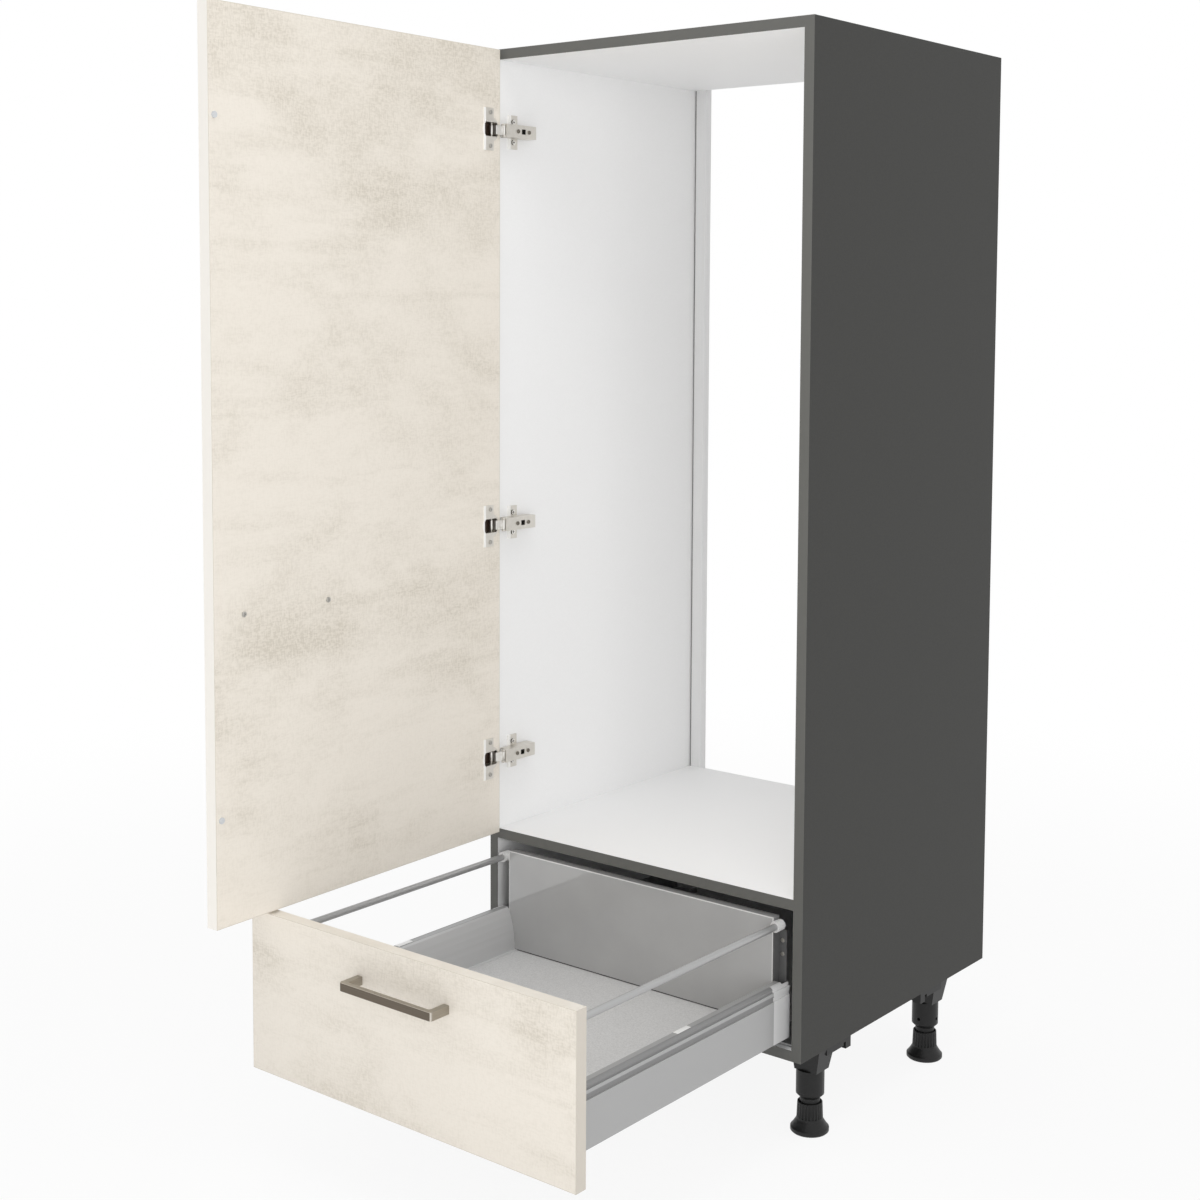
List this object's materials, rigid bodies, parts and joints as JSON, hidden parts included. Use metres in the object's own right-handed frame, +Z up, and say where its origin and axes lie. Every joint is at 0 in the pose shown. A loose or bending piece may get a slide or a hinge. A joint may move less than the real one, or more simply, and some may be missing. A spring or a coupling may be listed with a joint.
{
  "type": "fridge housing unit",
  "caption": "Tall kitchen housing for a built-in fridge: open-backed niche with a left-hung door, full-extension drawer below, on levelling feet.",
  "frame": {"origin": "on the floor, in the middle of the width, in the plane of the closed fronts' outer faces", "axes": "+Z up, +X to the right seen from the front, +Y to the back"},
  "size_m": [0.6141, 1.1637, 1.615],
  "materials": {
    "carcass_board": "melamine board, matt anthracite outside and white inside",
    "white_board": "white melamine board",
    "front_laminate": "matt laminate, cream with soft grey-beige clouds",
    "edge_band": "matt cream edge band",
    "grey_board": "light grey coated board",
    "beech": "plain beech dowel",
    "nickel_steel": "nickel-plated pressed steel",
    "zinc_screw": "zinc-plated steel",
    "handle_nickel": "brushed nickel",
    "drawer_steel": "silver-grey coated steel",
    "railing_steel": "silver steel tube",
    "fitting_plastic": "silver-white plastic",
    "runner_steel": "zinc-plated steel",
    "foot_plastic": "black moulded plastic",
    "damper_plastic": "dark brown plastic",
    "bumper_rubber": "soft clear-grey bumper"
  },
  "bodies": {
    "carcass": {"bottom_panel": "carcass_board", "cabinet_rail_left": "runner_steel", "cabinet_rail_right": "runner_steel", "cabinet_rail_screws": "zinc_screw", "carcass_dowels": "beech", "drawer_compartment_back": "white_board", "foot_sleeves": "foot_plastic", "foot_socket_screws": "zinc_screw", "foot_sockets": "foot_plastic", "hinge_arm_bottom": "nickel_steel", "hinge_arm_middle": "nickel_steel", "hinge_arm_pins": "nickel_steel", "hinge_arm_screws": "zinc_screw", "hinge_arm_top": "nickel_steel", "hinge_plate_screws": "zinc_screw", "hinge_plates": "nickel_steel", "left_side_panel": "carcass_board", "niche_shelf": "carcass_board", "rear_strip_left": "white_board", "rear_strip_right": "white_board", "right_side_panel": "carcass_board", "top_panel": "carcass_board"},
    "hinge_links": {"hinge_link_top": "nickel_steel", "hinge_link_middle": "nickel_steel", "hinge_link_bottom": "nickel_steel"},
    "door": {"door_panel": "front_laminate", "door_edge_bands": "edge_band", "door_handle": "handle_nickel", "door_handle_screws": "zinc_screw", "door_bumpers": "bumper_rubber", "hinge_cup_top": "nickel_steel", "hinge_cup_middle": "nickel_steel", "hinge_cup_bottom": "nickel_steel", "hinge_cup_pins": "nickel_steel", "hinge_cup_screws": "zinc_screw", "hinge_dampers": "damper_plastic"},
    "drawer": {"back_bracket_screws": "zinc_screw", "drawer_back": "grey_board", "drawer_back_brackets": "drawer_steel", "drawer_bottom": "grey_board", "drawer_front": "front_laminate", "drawer_front_brackets": "drawer_steel", "drawer_front_edge_bands": "edge_band", "drawer_handle": "handle_nickel", "drawer_handle_screws": "zinc_screw", "drawer_rail_left": "runner_steel", "drawer_rail_right": "runner_steel", "drawer_side_left": "drawer_steel", "drawer_side_right": "drawer_steel", "railing_clamps": "fitting_plastic", "railing_holders": "fitting_plastic", "railing_left": "railing_steel", "railing_right": "railing_steel"},
    "runner_left": {"runner_member_left": "runner_steel"},
    "runner_right": {"runner_member_right": "runner_steel"},
    "foot_front_left": {"foot_adjuster_front_left": "foot_plastic"},
    "foot_front_right": {"foot_adjuster_front_right": "foot_plastic"},
    "foot_rear_left": {"foot_adjuster_rear_left": "foot_plastic"},
    "foot_rear_right": {"foot_adjuster_rear_right": "foot_plastic"}
  },
  "joints": [
    {"name": "door_hinge", "type": "hinge", "parent": "hinge_links", "child": "door", "pos_m": [-0.28147, 0.00232, 0.865], "axis": [0, 0, -1], "range_deg": [-117.92, 9.38]},
    {"name": "hinge_link_turn", "type": "hinge", "parent": "carcass", "child": "hinge_links", "pos_m": [-0.268, 0.017, 0.865], "axis": [0, 0, 1], "range_deg": [-30, 2.5]},
    {"name": "drawer_slide", "type": "slide", "parent": "carcass", "child": "drawer", "axis": [0, -1, 0], "range_m": [-0.482, 0]},
    {"name": "runner_left_slide", "type": "slide", "parent": "carcass", "child": "runner_left", "axis": [0, -1, 0], "range_m": [-0.241, 0]},
    {"name": "runner_right_slide", "type": "slide", "parent": "carcass", "child": "runner_right", "axis": [0, -1, 0], "range_m": [-0.241, 0]},
    {"name": "foot_front_left_level", "type": "slide", "parent": "carcass", "child": "foot_front_left", "axis": [0, 0, 1], "range_m": [-0.015, 0.008]},
    {"name": "foot_front_right_level", "type": "slide", "parent": "carcass", "child": "foot_front_right", "axis": [0, 0, 1], "range_m": [-0.015, 0.008]},
    {"name": "foot_rear_left_level", "type": "slide", "parent": "carcass", "child": "foot_rear_left", "axis": [0, 0, 1], "range_m": [-0.015, 0.008]},
    {"name": "foot_rear_right_level", "type": "slide", "parent": "carcass", "child": "foot_rear_right", "axis": [0, 0, 1], "range_m": [-0.015, 0.008]}
  ],
  "couplings": [
    {"joint": "hinge_link_turn", "follows": "door_hinge", "ratio": 0.25373},
    {"joint": "runner_left_slide", "follows": "drawer_slide", "ratio": 0.5},
    {"joint": "runner_right_slide", "follows": "drawer_slide", "ratio": 0.5}
  ]
}
